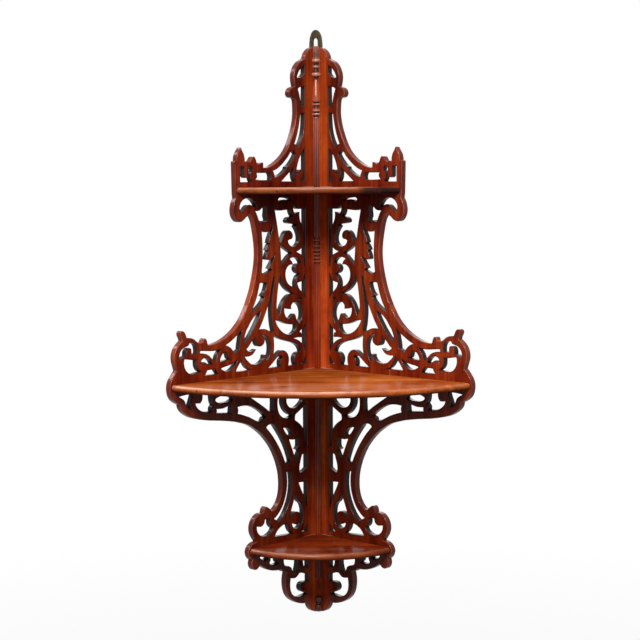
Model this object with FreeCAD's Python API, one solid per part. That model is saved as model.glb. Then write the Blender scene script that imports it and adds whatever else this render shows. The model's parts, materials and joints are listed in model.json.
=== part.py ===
import FreeCAD, Part
import math
import os

# Hanging corner shelf in mahogany, with two pierced side boards and three quarter-round shelves.
# Millimetres, Z up. The room's corner is the line X = 0, Y = 0: the left board lies on the wall X = 0
# and runs to -Y, the right board lies on the wall Y = 0 and runs to +X. The origin is the top of the
# hanger's slot, on the corner line, where the wall hook carries the weight.

Vector = FreeCAD.Vector

# Boards and shelves
BOARD_T = 9.5
SHELF_T = 10.0
SPINE_W = 25.0

# Heights from one shelf top to the next, and to the ends of the wood
CREST_RISE = 219.0
UPPER_GAP = 286.0
LOWER_GAP = 267.0
TAIL_DROP = 126.0

# Reach of the side boards from the inner corner at each shelf, and the shelf rim's setback from it
TOP_REACH = 176.4
MIDDLE_REACH = 310.3
BOTTOM_REACH = 155.0
RIM_SETBACK = 3.2

# Housings that take the straight edges of the shelves
HOUSING_DEPTH = 3.0
HOUSING_FIT = 0.1
HOUSING_STOP = 16.0

# Turned columns in the inner corner
COLUMN_R = 8.0
REEDS = 4
REED_RISE = 0.55
RING_R = 9.2
RING_H = 4.2
RING_CORE_R = 7.0
RING_DROPS = (73.0, 82.0, 89.0, 95.0, 101.0, 106.5)
PENDANT_LENGTH = 60.0

# Folded brass hanger
PLATE_T = 1.5
PLATE_LAP = 7.5
PLATE_DEPTH = 45.0
SLOT_R = 5.5
SLOT_RISE = 14.0
SLOT_SINK = 5.0
ARCH_HALF_W = 15.2
ARCH_RISE = 13.0

# Slotted countersunk screws
SHELF_SCREW_R = 1.75
SHELF_SCREW_HEAD_R = 3.5
SHELF_SCREW_BITE = 18.0
SHELF_SCREW_IN = 35.0
SHELF_SCREW_OUT = 45.0
CORNER_SCREW_R = 1.5
CORNER_SCREW_HEAD_R = 3.0
CORNER_SCREW_MARGIN = 7.0
HANGER_SCREW_R = 1.2
HANGER_SCREW_HEAD_R = 2.4
HANGER_SCREW_IN = 3.5
HANGER_SCREW_SKIN = 2.0
HANGER_SCREW_DROPS = (14.0, 36.0)
DRIVER_SLOT_W = 0.8
DRIVER_SLOT_DEPTH = 0.7
SCREW_TIP = 3.0
SCREW_POINT_R = 0.4

# Screws in each side of a shelf, and along the corner in the stretches from the crest to the foot
TOP_SHELF_SCREWS = 2
MIDDLE_SHELF_SCREWS = 4
BOTTOM_SHELF_SCREWS = 2
CREST_SCREWS = 2
WAIST_SCREWS = 3
BRACKET_SCREWS = 3
TAIL_SCREWS = 1

# Levels that follow from the sizes above
Z_CREST = -SLOT_RISE
Z_TOP = Z_CREST - CREST_RISE
Z_MIDDLE = Z_TOP - UPPER_GAP
Z_BOTTOM = Z_MIDDLE - LOWER_GAP
Z_FOOT = Z_BOTTOM - TAIL_DROP

# The fret pattern is drawn full size as (distance from the inner corner, height over the middle shelf),
# for the levels and reaches below, from the foot to the crest. Each stroke starts at a corner, runs
# smoothly through its other points and ends where the next stroke starts; the last one closes the loop.
PATTERN_LEVELS = (-393.0, -267.0, 0.0, 286.0, 505.0)
PATTERN_REACHES = (155.0, 155.0, 310.3, 176.4, 176.4)
PATTERN_SPINES = (25.0,) * len(PATTERN_LEVELS)
BOARD_LEVELS = (Z_FOOT, Z_BOTTOM, Z_MIDDLE, Z_TOP, Z_CREST)
BOARD_REACHES = (BOTTOM_REACH, BOTTOM_REACH, MIDDLE_REACH, TOP_REACH, TOP_REACH)

# Glue seam between the main board and its two outer boards, in the pattern's measure: how far out it
# runs, its foot, and the height where the outer boards part
PATTERN_SEAM = (152.0, -150.0, 200.0)

OUTLINE = [
    # crest
    [(0, 505), (8, 503.5), (15, 499.8), (20, 495), (22.8, 490.5)],
    [(24, 486), (30, 482.7), (36, 479.8), (42, 474.3), (47, 466), (49.2, 457), (48.8, 450)],
    [(46.8, 442.3), (52, 440.3), (57.3, 437), (60, 433), (60, 428.5), (57, 424.8), (51.5, 423.8),
     (47.3, 422.5), (45.5, 418), (44.8, 410), (44.6, 400), (46, 389.5), (49, 378), (54.3, 364.5),
     (61.3, 350.5), (70, 339), (80, 330.2), (90, 324), (101, 318.6), (109, 316.4)],
    # gallery rail, crocket and finial post
    [(116.3, 316.3)],
    [(116.8, 322), (118.7, 324), (122.3, 322.8), (126, 321.8), (129.5, 323.3), (132, 328.5),
     (134.3, 331.8), (137, 332.8), (140.3, 331), (143, 327.3)],
    [(145.5, 325)],
    [(155.2, 325.6), (155.7, 332), (158, 337.8), (161, 341.8)],
    [(163.7, 346.2), (166.5, 341.8), (169.5, 337.8), (171.8, 332)],
    [(172.3, 326.2), (175.3, 325.5)],
    [(176.5, 322.5)],
    [(175.4, 276)],
    # scroll under the top shelf and the long sweep of the waist
    [(174.3, 269.8), (177.3, 265), (179.6, 258), (180.3, 250.5), (178.5, 243), (174, 237),
     (168, 234.2), (161.5, 235.5), (156, 239), (151, 243.5)],
    [(147, 246.5), (143, 243), (140, 238.8), (137, 231), (134.6, 221), (132.3, 209), (130.7, 197),
     (130.2, 186), (131, 174), (133.4, 160), (137.5, 144), (142, 130), (146.5, 119.7), (151, 110),
     (157, 99.7), (165, 88), (175, 77.6), (186, 69), (198, 62.3), (210, 57.5), (222, 54.6)],
    # crockets and lobes of the wing
    [(233.7, 53.8), (235.5, 58), (237.5, 62.3), (240.5, 64), (243.3, 62.3), (245.3, 58.8),
     (249.5, 58), (255, 59.3), (259, 62.5), (264, 65.4), (269.5, 66.8)],
    [(275.6, 67.6), (277.7, 71.8), (280, 75.8), (283.5, 77.8), (287, 77.3), (289, 74.5),
     (288.3, 70.5), (286.4, 67)],
    [(285.5, 63), (290, 59.7), (295, 55), (298.5, 49.5), (300.6, 43), (300.8, 36.5), (299.3, 30),
     (297.5, 24.7)],
    [(296, 20), (299.7, 16.3), (303.7, 11.5), (307.3, 6.5), (309.7, 0.5), (310.3, -6), (309.3, -13),
     (306.7, -18.8), (302.5, -23.5), (297, -27.2)],
    # bracket under the middle shelf
    [(290.7, -30.3), (289.3, -36), (285.5, -41), (279, -46), (271, -50.3), (260, -54), (247, -57),
     (230, -59.8), (212, -62), (193, -64.8), (178, -67.6), (162, -71.7), (150, -75.7), (140, -81),
     (130, -87.5), (120, -95.5), (111, -104.5), (103, -114), (97, -123), (92.4, -131.5),
     (88.3, -140.5), (85, -150), (82.7, -159), (81.5, -168), (81.2, -178), (82.2, -187.5),
     (84.6, -196), (88.5, -203.5), (94, -210), (99, -213.6)],
    # lobes at the bottom shelf
    [(104.5, -214), (107.5, -210.8), (111.5, -208), (116, -206.3), (119.7, -208.5), (121.5, -212.3)],
    [(122, -215.3), (128, -215.2), (134, -216.8), (140, -221), (144.6, -227.5), (146.8, -235.5),
     (145.6, -244), (141.7, -251.5)],
    [(137, -257.6), (143, -258.8), (149, -261.8), (153.3, -266.5), (155, -272), (153.6, -278),
     (150.3, -282.7)],
    [(146.8, -285.3), (148.4, -291), (146.5, -297), (142, -301.2), (137.5, -301.7), (133, -299.3)],
    # tail
    [(130, -296.3), (124, -300), (117, -304), (108, -307.8), (98, -310), (90, -310.8)],
    [(84, -311), (80.3, -314.2), (76, -316.2)],
    [(72.8, -317), (74.7, -324), (75.4, -332.5), (74.2, -343), (70.4, -353), (64, -360.7), (55, -367),
     (45, -371.5), (35, -374)],
    [(23.6, -373.6), (21.8, -380), (17.8, -386), (11.8, -390.5), (5.5, -392.6)],
    [(0, -393)],
]

CREST_OPENINGS = [
    # eye of the crest
    [[(25.3, 474.5), (31, 471), (36.8, 465.5), (40.3, 460)],
     [(41.7, 455.3), (35.5, 455.6), (29.5, 458.3)],
     [(25.5, 463)]],
    # slit beside the ear
    [[(25.2, 442), (31, 441), (36.5, 440)],
     [(39.8, 437.3), (37.3, 431), (35.3, 424), (34, 417)],
     [(33, 411.5), (29.5, 410.8)],
     [(26.2, 412)]],
    # long blade
    [[(26, 399.5), (26.5, 388), (28, 374.5), (32, 361.5), (36.3, 353.3)],
     [(40.3, 347.5), (43.2, 351.3)],
     [(48.3, 353), (44.5, 361.5), (40.5, 372.5), (37.5, 384.5)],
     [(34.7, 399), (30.3, 400.4)]],
    # scroll on the rail
    [[(26, 347), (30.5, 341.5), (35.5, 334.5), (39.5, 327), (42.7, 317.5), (44.6, 309.5), (44.2, 306),
      (42, 305.9)],
     [(40.6, 309), (38.3, 312.4), (34.5, 313.7), (30.7, 312), (29, 308), (30, 303.8)],
     [(33.3, 299.5)],
     [(32.5, 295)],
     [(26, 295)]],
    # corner behind the scroll
    [[(50, 318.5), (55, 313), (60.5, 308.2), (66, 304), (71.5, 299.7)],
     [(77, 295.5)],
     [(47, 295.2), (50, 300.3), (51, 307), (50.7, 313)]],
    # curved blade over the rail
    [[(46, 337.5), (50, 331.3), (55, 325.5), (60.5, 320.2)],
     [(66.3, 317.6)],
     [(66.8, 314.2), (73, 309.3), (80, 305.2), (86, 302.8)],
     [(91.3, 301.6), (92.3, 305.5)],
     [(95.3, 311.2), (89, 313.2), (82, 317), (74.5, 322.3), (67, 328.8), (61.5, 334.3)],
     [(58, 339), (54.5, 341.6), (49.5, 340.6)]],
    # gallery slot
    [[(101, 298.3), (100.6, 303)],
     [(103, 308)],
     [(130.8, 307.8), (129.4, 303.3)],
     [(132.8, 298.2), (117, 297.3)]],
    # opening round the foot of the post
    [[(139, 311.5), (140.5, 315.5), (144, 317.2)],
     [(148, 316)],
     [(148, 302.5), (150, 300.7), (154.5, 300.7)],
     [(157, 303)],
     [(157, 317)],
     [(165, 317)],
     [(165, 294.3)],
     [(141.5, 294.5), (143.8, 299), (144.2, 304.5), (142.6, 309)]],
]

WAIST_OPENINGS = [
    # crescent in the scroll under the top shelf
    [[(132, 256.5), (135, 262), (140.5, 267.3), (148.5, 270), (156.3, 268.8), (162, 265.3),
      (165.8, 259.8), (166.3, 253.5), (163, 249)],
     [(159.5, 250.8), (154.5, 256.3), (147.5, 260.2), (140, 258.8)]],
    # small opening at the scroll's root
    [[(112, 257), (119, 255.5), (123.5, 251.7), (128, 250.3)],
     [(134.2, 250.5), (130.5, 245), (127.5, 238.5)],
     [(125, 233.5), (121.5, 233.5)],
     [(118.5, 235.5), (115, 233), (111, 233.5), (110, 237), (111.5, 241), (111, 249)]],
    # leaf with three barbs
    [[(97.8, 230.3), (100.2, 224.5), (104, 219.8), (109, 217.8), (115, 218.2)],
     [(121.3, 222), (120, 212), (119.2, 200), (118.9, 187), (119.4, 174.5), (120.4, 164.5)],
     [(121.3, 156.8), (117.5, 155.2)],
     [(114, 153), (109.8, 155.4), (105, 157.5)],
     [(99.7, 159.5), (103, 161.2)],
     [(106, 162.3), (102, 167.5), (98.2, 172.7), (95, 178)],
     [(93, 183.2), (97.5, 178.3), (102, 175.6), (106.5, 175)],
     [(111.2, 176.6), (110.2, 182.5), (108.2, 186.8)],
     [(106.5, 189.4)],
     [(110.3, 190.3), (108, 195), (105.7, 198.3)],
     [(103.4, 200.4)],
     [(106.6, 201.4), (104.8, 207.5), (101.8, 214), (98.6, 221)]],
    # sliver under the shelf
    [[(55.5, 265.8), (63, 269), (73, 270), (82, 269.8)],
     [(85, 267), (81.8, 263)],
     [(79.5, 265), (75, 267), (66, 267)]],
    # tall opening beside the spine
    [[(25.8, 253.5), (34, 252.3), (43, 252.8), (48, 256)],
     [(51, 261.5), (52.5, 256), (51, 249.5)],
     [(48, 244.8), (43.5, 246.8)],
     [(38.4, 248), (38.2, 241), (36.5, 234.3), (32.8, 227), (30.4, 217.5), (29.6, 207), (30, 198),
      (34, 191.3), (39.5, 187.8)],
     [(45, 186.2), (38.5, 183.3), (32, 179.5), (28.8, 173)],
     [(28.3, 163)],
     [(25.8, 163)]],
    # large opening round the upper volute
    [[(57.5, 251.3), (68, 251.2), (78, 250.3), (86, 250.6)],
     [(92.5, 252.5), (90.6, 244), (88.7, 235.5), (86.7, 226), (85, 216.5), (83.3, 207)],
     [(81, 198.5), (77.5, 204), (74, 211), (69.5, 217), (63.5, 219.8), (57.5, 218.3), (54, 214.5),
      (53.2, 210), (55, 206.6), (59, 205.3)],
     [(63.7, 203.3), (61.5, 198.5), (57.5, 195.3), (51.5, 194), (45.5, 195.5), (41, 199.5),
      (39, 205.5), (40, 212.5), (43, 219)],
     [(46.3, 223.5), (47.8, 225.2)],
     [(45, 228), (53, 229.4), (60, 230)],
     [(66.3, 231.8), (66.8, 235.5), (63.5, 239), (58, 240.8)],
     [(52.8, 241.5), (55.8, 245)]],
    # triangle between the volutes
    [[(81.2, 195.5), (80.3, 185), (79.3, 174)],
     [(78.6, 165.5), (73.5, 170), (67.5, 175.5), (61.5, 180.8)],
     [(56, 183.7), (61.5, 186.7), (67.5, 190), (73, 193.3)]],
    # opening round the second volute
    [[(60.3, 175.2), (56.6, 172.5), (54.6, 169)],
     [(54, 166.2), (60.3, 165.6), (65.6, 162.5), (69, 157), (69.8, 150), (67.8, 142.5), (63, 136.3),
      (56, 132.5)],
     [(47, 131.5), (47.2, 138), (45, 144.5), (41.5, 148.8)],
     [(37, 151), (42.8, 152.3), (47.3, 156), (48.4, 160.7), (46, 165), (41.5, 167.3)],
     [(35.5, 168.2), (38.3, 172.6), (43, 176), (48.5, 177.3), (54.5, 177)]],
    # wedge beside the spine
    [[(26, 152), (28.8, 147), (31.5, 141.5), (36, 138.8)],
     [(44, 137.4), (41.5, 131), (36, 125), (30.5, 119.5)],
     [(26.2, 111.5)]],
    # sickle beside the stem
    [[(80.8, 151.5), (83.5, 143.5), (85.5, 135.5), (87, 127), (88.2, 118), (89.3, 109), (89.5, 101),
      (88, 94.5)],
     [(84.5, 88.8), (82, 94), (79.3, 101), (75.5, 107.7), (70.5, 113.7), (64.8, 118)],
     [(48, 119.8), (55.5, 122.2), (62.5, 125.5), (69, 130), (74, 135.3), (77.8, 142)]],
    # pinhole
    [[(33.5, 111.5), (37, 113.6), (41, 111.6), (37, 109.4)]],
    # opening round the third volute
    [[(40.3, 73), (37, 77.5), (34.2, 84), (33.7, 91), (35.8, 98.5), (40.3, 104), (46, 106.8),
      (52, 107.3), (56.5, 104)],
     [(58, 97.3), (62.5, 97.2), (68, 98.6)],
     [(72.8, 99), (72.3, 91.5), (69.5, 86), (64.5, 83), (59.5, 83.3), (55, 86.7)],
     [(51.3, 89.5), (48, 86), (46.3, 81.5), (43.3, 77)]],
    # leaf under the third volute
    [[(92.3, 80.7), (88, 73), (82, 66.4), (75, 61.4), (67, 58.2), (60, 57.5), (53.5, 59.3), (49, 63.3),
      (47, 68.3)],
     [(48, 73.9), (54, 72.8), (62, 73.4), (70, 75.5), (77.5, 78.3), (85, 80.3)]],
    # notch beside the spine
    [[(26, 73.5), (28.8, 69), (33, 65), (37.5, 61.8)],
     [(39.5, 59.5), (35.2, 57.3), (34.8, 53)],
     [(40, 51.8), (46, 51.4)],
     [(52, 50.8), (44.5, 48.6), (38, 45), (32.5, 40), (28.5, 34.2)],
     [(26, 29)]],
    # opening between the two scrolls on the rail
    [[(97, 59), (95.9, 50), (95.6, 40), (96.4, 33), (97.6, 27)],
     [(99, 20.8), (94.5, 24.3), (89, 29), (83.5, 32.6), (78.3, 34.3), (72.8, 33.2), (67.5, 29.5),
      (64.3, 24.3), (63.3, 18.5), (64, 13)],
     [(65, 9.3)],
     [(49, 9.2), (51.2, 14), (51.6, 19.3), (49.8, 24), (46, 27.4), (41.5, 28.9)],
     [(37, 29.3), (39.3, 34.7), (43.3, 39), (48.8, 42.3), (56, 44.9), (66, 47.3), (76, 50), (85, 53.3),
      (92, 56.6)]],
    # foot of the spine
    [[(25.9, 24), (27.5, 18.5), (30.5, 13.8)],
     [(35.5, 9.3)],
     [(25.9, 9.3)]],
    # arch on the rail
    [[(77.5, 23), (82, 25.3), (86.5, 25), (92, 22), (98, 17), (103.5, 12.6)],
     [(108.3, 9.3)],
     [(82, 9.2), (82.8, 14), (81.8, 19)]],
]

WING_OPENINGS = [
    # long slit of the stem
    [[(97.2, 147.5), (99.2, 138.5), (101.6, 128), (104.3, 117), (107.5, 107.3), (111.7, 98), (116.7, 88),
      (122, 78.5)],
     [(127.8, 70), (120, 70.2), (113, 69.2), (106.5, 66.2), (101.3, 64.5)],
     [(96.8, 66), (98.5, 72.5), (100, 81.5), (100.9, 91.5), (100.9, 101), (100.2, 110.5), (98.8, 120.5),
      (97, 130), (95.2, 139)],
     [(93.6, 147.3), (95.4, 149)]],
    # barbed opening in the outer band
    [[(110.8, 138.7), (117.5, 140.8)],
     [(125.7, 139.8), (128.2, 131.5), (131.3, 122), (135.4, 112.3), (140, 104)],
     [(144.5, 95), (136.5, 99.7), (128, 105.3), (121.3, 111), (118, 115.3)],
     [(116.6, 118.4)],
     [(121.2, 121.4), (117, 124.7), (113.5, 130.2)]],
    # leaf blade
    [[(124.5, 97), (128.6, 88), (134, 79.3), (140.5, 70), (147.5, 61.3), (154, 54.7)],
     [(159, 50.8), (159.4, 57), (157, 65), (152.4, 73.7), (146, 82), (138.5, 89.3), (130.5, 94.6)]],
    # triangle over the round scroll
    [[(163.5, 71.7), (166.4, 63.5), (168.4, 54.5), (169.8, 47)],
     [(170.4, 42.3), (175.5, 39.8)],
     [(181, 36.4), (182.6, 40.5), (186.3, 45), (191.5, 48.6)],
     [(197.5, 50.8), (188.5, 55), (179.3, 60.5), (170.5, 66.3)]],
    # opening round the boss and the hook
    [[(121, 61), (113.8, 58.3), (108.3, 53), (105.2, 46), (104.6, 38.5), (105.8, 31), (108.8, 24)],
     [(113.3, 17.5), (113.3, 23.5)],
     [(114.5, 30.3)],
     [(117.6, 29.6), (118.3, 25.3), (121.8, 20.8), (127, 18), (134, 16.8), (142, 17.3), (149, 20.4),
      (154.2, 25)],
     [(158.4, 30), (151, 30), (144.3, 31.3), (139.3, 34.8)],
     [(135.8, 40.2), (141, 38), (147, 37.3), (152, 38.7)],
     [(154.8, 41.6), (150, 46), (144.5, 51.2)],
     [(138, 58), (135, 53.5), (134.2, 48.7), (131, 44.8), (126, 43.3), (120.6, 44.8), (117.2, 48),
      (115.9, 52.5), (117.5, 57)]],
    # wedge on the rail under the hook
    [[(163.5, 29.5), (166.8, 24), (171.5, 18.3), (175.5, 13)],
     [(177.5, 9.3)],
     [(146.5, 9.2), (153, 12.2), (158, 17.5), (161.3, 23.5)]],
    # lens over the rail
    [[(174.8, 26), (180.5, 23), (188, 20.4), (198, 18.6)],
     [(208, 16.3), (203, 13.4), (196.5, 11.5), (189.5, 12.2), (183, 15.8), (178, 20.6)]],
    # eye of the round scroll
    [[(189, 29), (193.3, 31.5), (194.3, 35)],
     [(196.5, 39), (202.5, 38.8), (206.8, 35.3), (209.3, 30.5)],
     [(209.8, 26.9), (200, 27.7)]],
    # thin opening under the top band
    [[(208, 45.5), (218, 44), (228, 44), (239, 45)],
     [(249.5, 45.8)],
     [(250.2, 42.3), (243, 41.8), (236, 40), (229.8, 36), (224.7, 31)],
     [(219, 27.8), (217.5, 32), (215.3, 37), (211.8, 41.8)]],
    # small crescent
    [[(226.5, 24), (229, 29), (233.5, 33), (239, 34.7), (244.7, 33.5), (248.5, 29.8)],
     [(249.4, 25.5), (246.3, 28.6), (241.8, 29), (237, 27), (232.3, 24.8)]],
    # low wedge on the rail
    [[(214.5, 9), (217.8, 12.8)],
     [(220.5, 16), (228, 16.3)],
     [(236, 15.8), (238, 12)],
     [(240.5, 9)]],
    # round end opening
    [[(248.5, 14.8), (254.3, 18.3), (257.3, 24), (257.8, 29.5)],
     [(257.6, 33), (265, 33.6), (272.5, 34.8)],
     [(280.8, 36), (281.7, 30), (280, 23), (275.5, 17), (269.5, 13.9), (261, 13.7)]],
    # opening round the end boss
    [[(257, 43.2), (256.8, 49), (258.8, 54.8), (263.5, 58.6)],
     [(271, 58.5), (274.2, 55), (280.5, 53.3), (286.2, 50), (290, 44.8), (291, 39.5)],
     [(290.2, 36), (285, 38.7)],
     [(278.3, 41), (278.3, 45), (276.3, 49.8), (272, 52.3), (268.5, 51), (267, 47.3)],
     [(268.2, 42.8)]],
]

BRACKET_OPENINGS = [
    # oval under the rail
    [[(185.5, -30.5), (192, -27), (203, -25.3), (214, -26.2), (220, -29.7), (213, -34.7), (200, -35.2),
      (190, -34)]],
    # slot under the oval
    [[(187.3, -42.3), (196, -42.2), (203.5, -44), (211, -44.2)],
     [(217.8, -44), (217.2, -47)],
     [(218.3, -49.6), (204, -50.8)],
     [(188.7, -52)]],
    # boot-shaped opening
    [[(228.5, -17.5), (237, -17)],
     [(245.8, -17.5), (246, -24.5), (248, -29.5)],
     [(251, -31.8), (256, -31.6)],
     [(260, -31.3), (257.5, -36.5), (252.5, -41), (246.5, -44), (239.5, -45.6)],
     [(228, -45.8), (228.2, -41.5)],
     [(224.5, -37), (227.3, -31), (228.2, -24)]],
    # opening at the wing's end
    [[(265.8, -17), (278.5, -16.8)],
     [(292, -18.3), (285.3, -21.8), (281.3, -25.5), (279.3, -30), (275.5, -35)],
     [(270, -38), (271.5, -32.5), (269.5, -27), (267.3, -21.5)]],
    # long blade along the bracket
    [[(115.5, -65.5), (121.5, -60), (129.5, -54.5), (139, -49.5), (149, -46), (160, -44.5)],
     [(174.3, -45.2), (173.2, -50)],
     [(174.3, -55), (163, -58.2), (151, -62.7), (141, -67.2)],
     [(132.5, -71.6)],
     [(122.5, -71.3), (120.3, -67.5)]],
    # curved slit of the outer band
    [[(113.8, -83.2), (107, -90), (99.5, -98.3), (92.5, -107.5), (86, -117), (80.5, -126.5),
      (76.3, -135)],
     [(73, -142.8)],
     [(61.8, -142.3), (64.5, -133.5), (68.3, -124), (73, -114.5), (78.5, -105.3), (85, -96), (91, -88.3)],
     [(97, -80.5), (103, -79.3), (109.5, -79.8)]],
    # curved slit below it
    [[(70.3, -158), (69.1, -167), (69, -178), (71, -190), (75, -201.5), (80.6, -212), (86.8, -219.3),
      (92.5, -224.5)],
     [(98.5, -228), (93, -230.8)],
     [(88.3, -234.5), (80.7, -229.3), (73, -220), (66.8, -209), (62, -196.5), (59.6, -184),
      (59.3, -172)],
     [(61.5, -158.5)]],
    # half moon under the shelf
    [[(32.8, -45), (40, -33), (52, -28.5), (63, -33.5), (69.5, -46), (65, -54.5), (57, -58.3), (48, -58),
      (38.5, -53.3)]],
    # wing beside the spine
    [[(24.5, -54.5), (31, -58.8), (38, -63), (44.5, -66.8)],
     [(49.8, -69.5), (51, -74)],
     [(50.3, -78.2), (43.5, -82.3), (37, -87.5), (32.3, -93.5), (30.3, -102), (29.5, -112)],
     [(27.5, -122)],
     [(24.5, -122)]],
    # crescent round the half moon
    [[(56.5, -70.3), (62.5, -68), (68.5, -64.3), (73.5, -59), (77, -52.5), (78.3, -45), (77.8, -38.5)],
     [(80.5, -34), (85.5, -34.5)],
     [(88.3, -39.5), (89.2, -47), (88.8, -54.5), (86.5, -62), (82, -68), (76, -71.7), (69, -73),
      (62, -72.2)]],
    # triangle under the shelf
    [[(99, -58), (98.3, -46), (99.5, -35), (103.5, -27.5)],
     [(110, -24), (124, -24), (138, -27)],
     [(149, -32), (139, -37.5), (128.5, -44), (117.5, -51)],
     [(107.5, -58.5)]],
    # barbed drop
    [[(42.5, -105.3), (48, -107.8), (55, -108.8), (60.5, -108)],
     [(64.3, -107.2), (61, -114.5), (56.8, -124), (53, -133)],
     [(48.5, -144), (45.3, -136.5), (42.8, -131)],
     [(41, -127.8), (44.5, -126.3)],
     [(48, -123.8), (44.3, -121.5), (43, -114)]],
    # small comma
    [[(76.8, -88.2), (73, -94), (68, -99.3)],
     [(62, -102), (58.2, -100.3), (59.8, -95.3), (64.3, -90.7), (70, -88.3)]],
    # leaf beside the spine
    [[(24.5, -134), (31, -133.5)],
     [(35.5, -135), (38.8, -144), (41.2, -153.5)],
     [(40, -163), (34.5, -162)],
     [(24.5, -156.8)]],
    # wedge beside the spine
    [[(24.5, -179.2), (33, -178.7)],
     [(42.8, -178.3), (39.5, -186.3), (35, -194.5), (30.5, -203.5), (27.7, -213)],
     [(24.5, -223)]],
    # opening round the lower volute
    [[(50, -193.5), (53.5, -203.5), (57, -212), (60.5, -220.3), (63.3, -227)],
     [(65.8, -233.3), (61.5, -229.5), (57, -226), (51, -223.8), (45, -224.6), (41, -227.8), (39.3, -232.5),
      (40, -238), (42.8, -242.8), (47.5, -244.9), (52.5, -243.4)],
     [(58.7, -240.8), (57.3, -246), (53.5, -250), (47.5, -251), (41.7, -248.2), (37, -242.8), (34.6, -236),
      (33.8, -227.5), (34.8, -219.5), (38, -213)],
     [(43, -209.3), (47.3, -202.5)]],
    # wedge on the bottom rail
    [[(67.8, -239.8), (76.5, -240.3), (84, -243.2), (91, -247.7), (94.5, -251.7)],
     [(97, -256), (80, -256.8)],
     [(57, -258), (62.5, -253.5), (66, -248)]],
    # foot of the spine
    [[(24.5, -247), (27.5, -250.5), (31.5, -254.5)],
     [(37, -258)],
     [(24.5, -258)]],
    # kidney in the lobe
    [[(101, -242.3), (105.5, -239.3), (108, -235)],
     [(108.3, -229), (112, -226.4), (117, -226)],
     [(119.3, -229.7), (122, -234), (126.5, -236.2), (131.3, -235.7)],
     [(136, -234.7), (135.7, -240), (133.3, -245), (128.5, -249.3), (121.5, -251.9), (114, -251.7),
      (107.5, -249.5), (103, -246)]],
]

TAIL_OPENINGS = [
    # opening under the bottom shelf
    [[(47.5, -290), (60, -287.5), (72, -287)],
     [(77.5, -288), (77.8, -297), (76, -304.5)],
     [(71, -307.5), (64.5, -309)],
     [(60.3, -312.3), (58.5, -317)],
     [(50, -318.5), (47.2, -309), (46.8, -299)]],
    # keyhole
    [[(88, -298), (93, -297), (94.5, -292.5)],
     [(95.5, -286), (101, -285.2)],
     [(107.5, -286.5), (107, -291)],
     [(109, -295.5), (106.5, -299), (100.5, -300.3), (93.5, -299.8)]],
    # sliver
    [[(113.5, -287.5), (118, -284.5), (124, -283)],
     [(130, -283.5), (126.5, -287), (121, -289.3)]],
    # slot beside the spine
    [[(23.5, -297)],
     [(34.5, -296.5), (35, -303)],
     [(32.5, -314.5)],
     [(23.5, -316.5)]],
    # opening round the tail's tongue
    [[(22.8, -329), (29, -327), (36.5, -324.3)],
     [(43.5, -324), (47.5, -327.7), (52, -329.8), (57.5, -329.6)],
     [(62.7, -328.7), (63.8, -337), (63, -346.5), (59.5, -353.8), (53.5, -358.8), (46, -361.5),
      (38, -361.3)],
     [(25.5, -359.5), (31, -357), (37, -354.3), (41.3, -350.3), (42.3, -345.3), (39.5, -340.7),
      (33.5, -339)],
     [(22.8, -340)]],
]

OPENINGS = CREST_OPENINGS + WAIST_OPENINGS + WING_OPENINGS + BRACKET_OPENINGS + TAIL_OPENINGS

# Turned top of the corner column: (radius, depth under the crest), in strokes like the pattern
CREST_TURNING = [
    [(6.2, 0)],
    [(6.2, 17), (7.0, 18.6)],
    [(7.4, 19.8), (8.7, 22.2), (7.4, 24.7)],
    [(6.2, 26), (6.0, 28)],
    [(6.1, 29.6), (7.1, 31.5), (6.0, 33.6)],
    [(5.4, 34.8), (5.8, 38), (7.2, 40.4)],
    [(9.0, 41.6), (9.4, 43.4), (9.0, 45.2)],
    [(4.6, 46.6), (4.2, 49), (4.6, 54), (5.6, 60), (6.9, 70), (8.0, 79), (7.7, 84)],
    [(6.0, 88)],
    [(7.0, 88.6), (8.3, 90), (7.0, 91.5)],
    [(5.8, 92.6), (6.3, 96), (7.5, 100)],
    [(6.0, 102.4)],
    [(7.0, 103.2), (8.3, 105.4), (7.0, 107.6)],
    [(6.4, 108.6)],
    [(7.6, 110.5)],
]
CREST_TURNING_END = 112.0

# Pointed arch of the hanger over the crest: (share of its half width, share of its height)
ARCH_SHAPE = ((1.0, 0.0), (0.915, 0.43), (0.75, 0.71), (0.52, 0.88), (0.0, 1.0))

# Turned end at the foot of the corner, in the same way, from its own top
DROP_TURNING = [
    [(6.8, 0), (8.5, 5.2)],
    [(6.8, 10.4)],
    [(6.8, 13), (8.5, 18.2), (6.8, 23.4)],
    [(3.4, 26)],
]
DROP_LENGTH = DROP_TURNING[-1][-1][1]


def at(side, u, w, z):
    """Point of a side board: u out from the inner corner, w out from the wall, z up."""
    if side == "left":
        return Vector(w, -BOARD_T - u, z)
    return Vector(BOARD_T + u, -w, z)


def inward(side):
    """Unit vector from the wall into the side board."""
    return at(side, 0, 1, 0) - at(side, 0, 0, 0)


def mix(values, i, share):
    return values[i] * (1 - share) + values[i + 1] * share


def to_board(u, z):
    """Carry a pattern point to the board: heights stretch between the shelves, widths with the reach."""
    i = 0
    while i < len(PATTERN_LEVELS) - 2 and z > PATTERN_LEVELS[i + 1]:
        i += 1
    share = (z - PATTERN_LEVELS[i]) / (PATTERN_LEVELS[i + 1] - PATTERN_LEVELS[i])
    height = mix(BOARD_LEVELS, i, share)
    if u <= 0:
        return u, height
    spine = mix(PATTERN_SPINES, i, share)
    if u <= spine:
        return u * SPINE_W / spine, height
    reach = mix(BOARD_REACHES, i, share) - SPINE_W
    drawn = mix(PATTERN_REACHES, i, share) - spine
    return SPINE_W + (u - spine) * reach / drawn, height


def stroke_edge(points):
    """A line through two points, a smooth curve through more."""
    if len(points) == 2:
        return Part.makeLine(points[0], points[1])
    curve = Part.BSplineCurve()
    curve.interpolate(points)
    return curve.toShape()


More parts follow.
